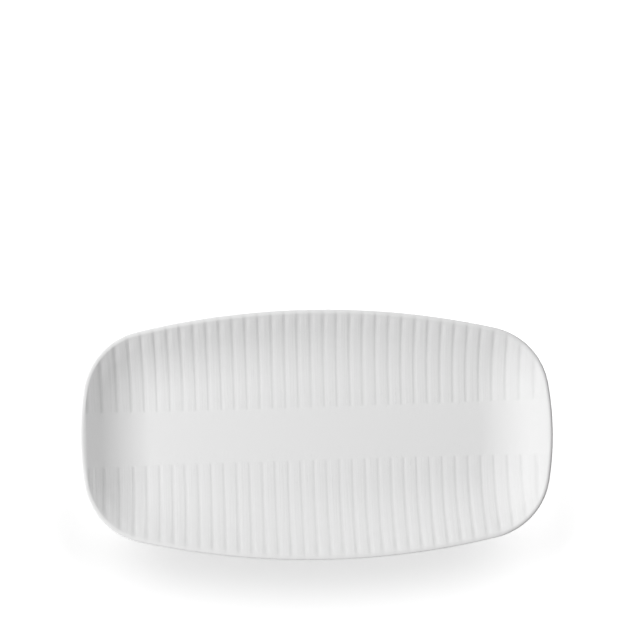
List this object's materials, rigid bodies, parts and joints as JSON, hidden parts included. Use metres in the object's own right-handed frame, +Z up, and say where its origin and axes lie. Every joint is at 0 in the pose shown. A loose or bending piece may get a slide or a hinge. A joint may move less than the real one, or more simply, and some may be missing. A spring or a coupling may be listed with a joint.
{
  "type": "oblong serving plate",
  "caption": "Oblong white glazed ceramic serving plate with a flared wall, round lip, bands of reeding across its face and a low foot ring.",
  "frame": {"origin": "middle of the plate in plan, on the plane of the foot ring's standing face", "axes": "+X along the plate's length, +Y across its width, +Z up out of the well"},
  "size_m": [0.355, 0.188, 0.0204],
  "materials": {
    "bare_clay": "fired, unglazed, matt",
    "white_glaze": "white satin glaze"
  },
  "bodies": {
    "root": {"clay_body": "bare_clay", "glaze_coat": "white_glaze", "base_glaze": "white_glaze"}
  },
  "joints": []
}
